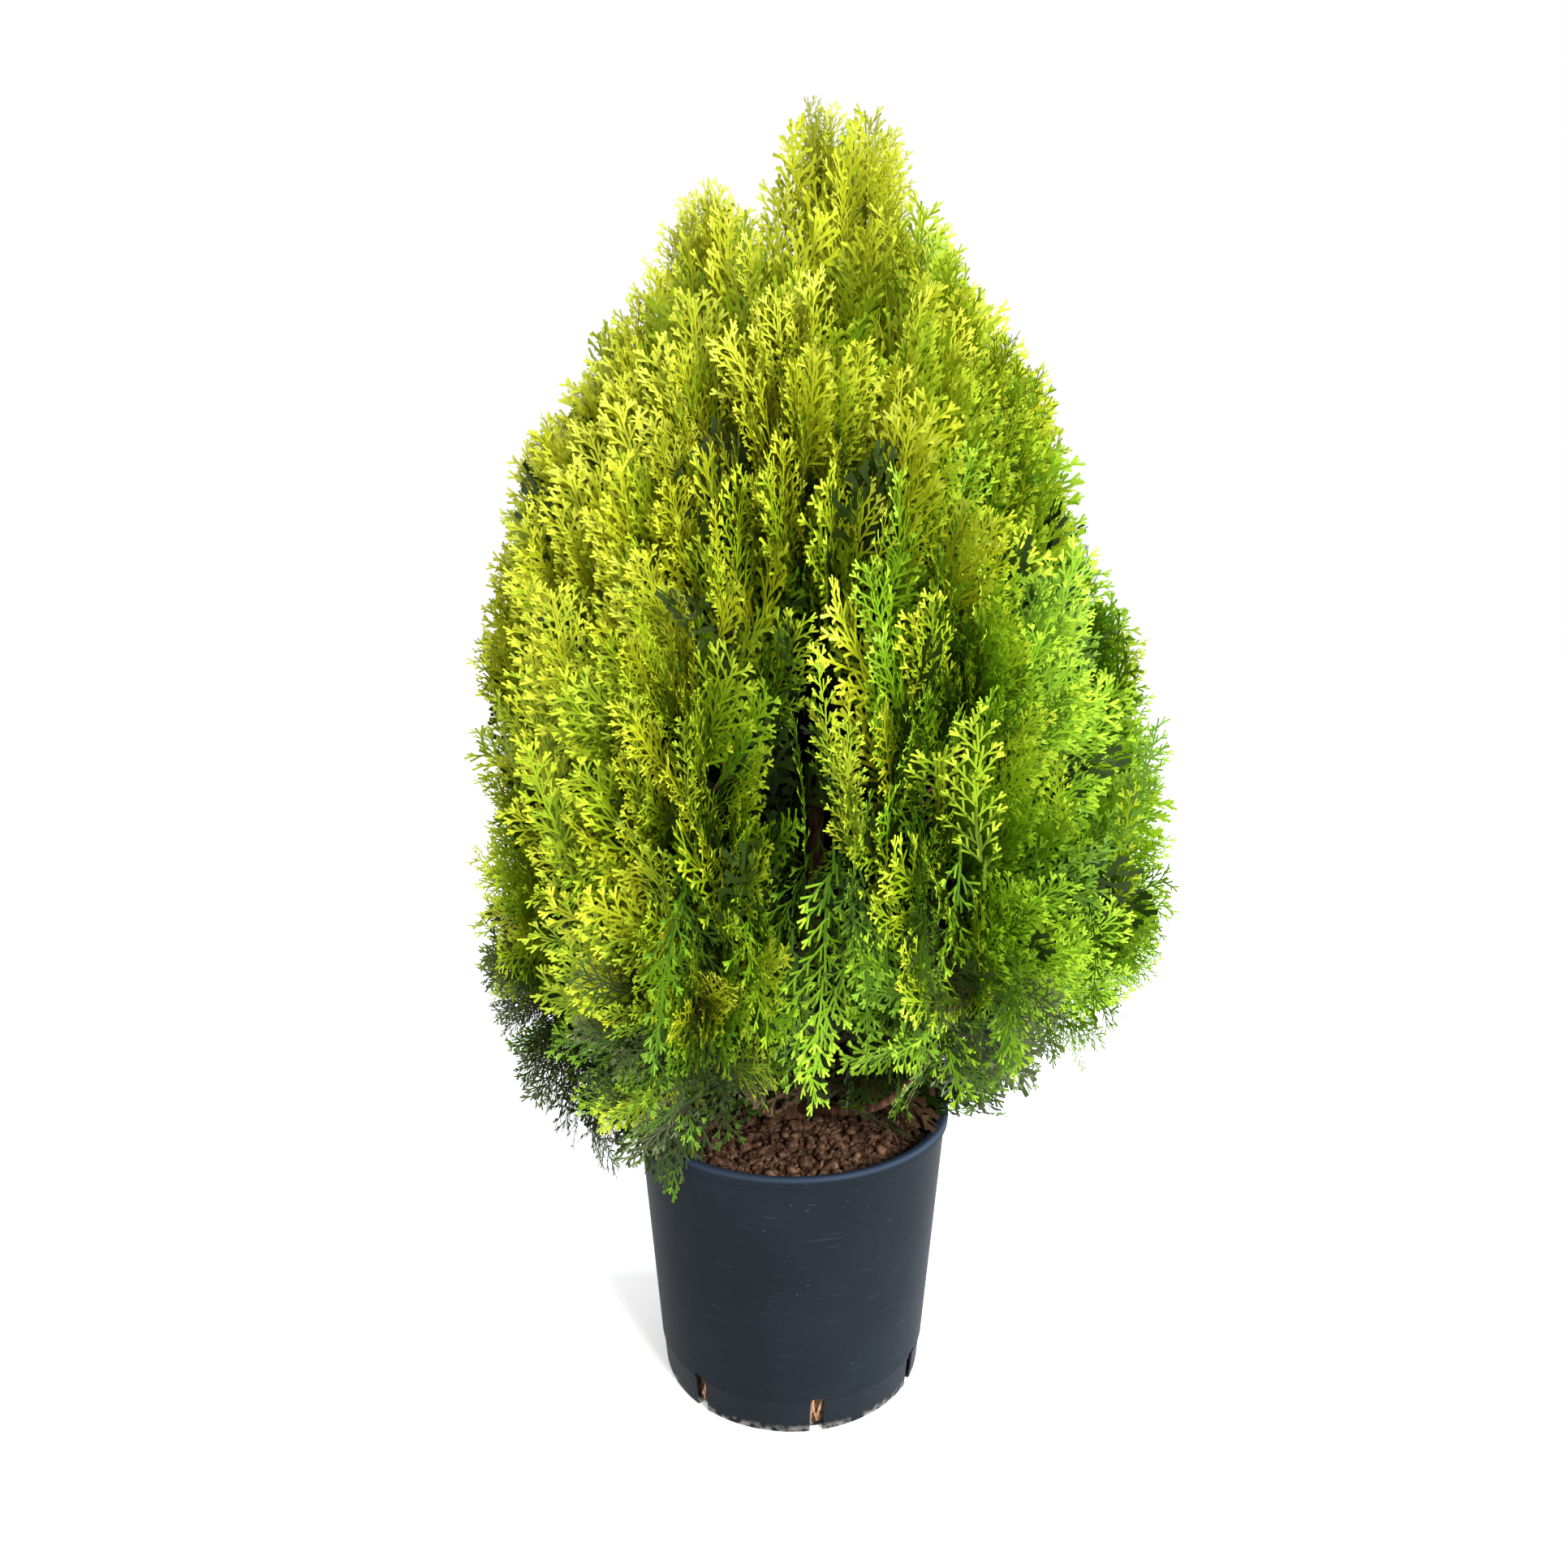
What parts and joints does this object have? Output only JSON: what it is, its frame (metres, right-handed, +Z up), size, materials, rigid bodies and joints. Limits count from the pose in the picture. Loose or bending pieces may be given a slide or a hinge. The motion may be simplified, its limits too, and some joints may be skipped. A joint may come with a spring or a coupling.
{
  "type": "potted thuja",
  "caption": "Egg-shaped golden thuja with two upright leaders and upright fern-like sprays, standing in a round dark plastic nursery pot filled with soil.",
  "frame": {"origin": "centre of the pot's flat underside", "axes": "+Z up along the plant's height, -Y towards the front with the dark upright parting, +X to the side of the taller leader"},
  "size_m": [0.4936, 0.4902, 0.9121],
  "materials": {
    "pot": "satin dark slate plastic, scuffed",
    "soil": "crumbly reddish-brown potting mix",
    "bark": "reddish-brown fibrous bark",
    "foliage": "matte golden green scale leaves"
  },
  "bodies": {
    "root": {"pot": "pot", "soil": "soil", "trunk": "bark", "bough_skirt_1": "bark", "foliage_skirt_1": "foliage", "bough_skirt_2": "bark", "foliage_skirt_2": "foliage", "bough_skirt_3": "bark", "foliage_skirt_3": "foliage", "bough_skirt_4": "bark", "foliage_skirt_4": "foliage", "bough_skirt_5": "bark", "foliage_skirt_5": "foliage", "bough_skirt_6": "bark", "foliage_skirt_6": "foliage", "bough_skirt_7": "bark", "foliage_skirt_7": "foliage", "bough_middle_1": "bark", "foliage_middle_1": "foliage", "bough_middle_2": "bark", "foliage_middle_2": "foliage", "bough_middle_3": "bark", "foliage_middle_3": "foliage", "bough_middle_4": "bark", "foliage_middle_4": "foliage", "bough_middle_5": "bark", "foliage_middle_5": "foliage", "bough_middle_6": "bark", "foliage_middle_6": "foliage", "bough_upper_1": "bark", "foliage_upper_1": "foliage", "bough_upper_2": "bark", "foliage_upper_2": "foliage", "bough_upper_3": "bark", "foliage_upper_3": "foliage", "bough_upper_4": "bark", "foliage_upper_4": "foliage", "foliage_leader_right": "foliage", "bough_leader_left": "bark", "foliage_leader_left": "foliage"}
  },
  "joints": []
}
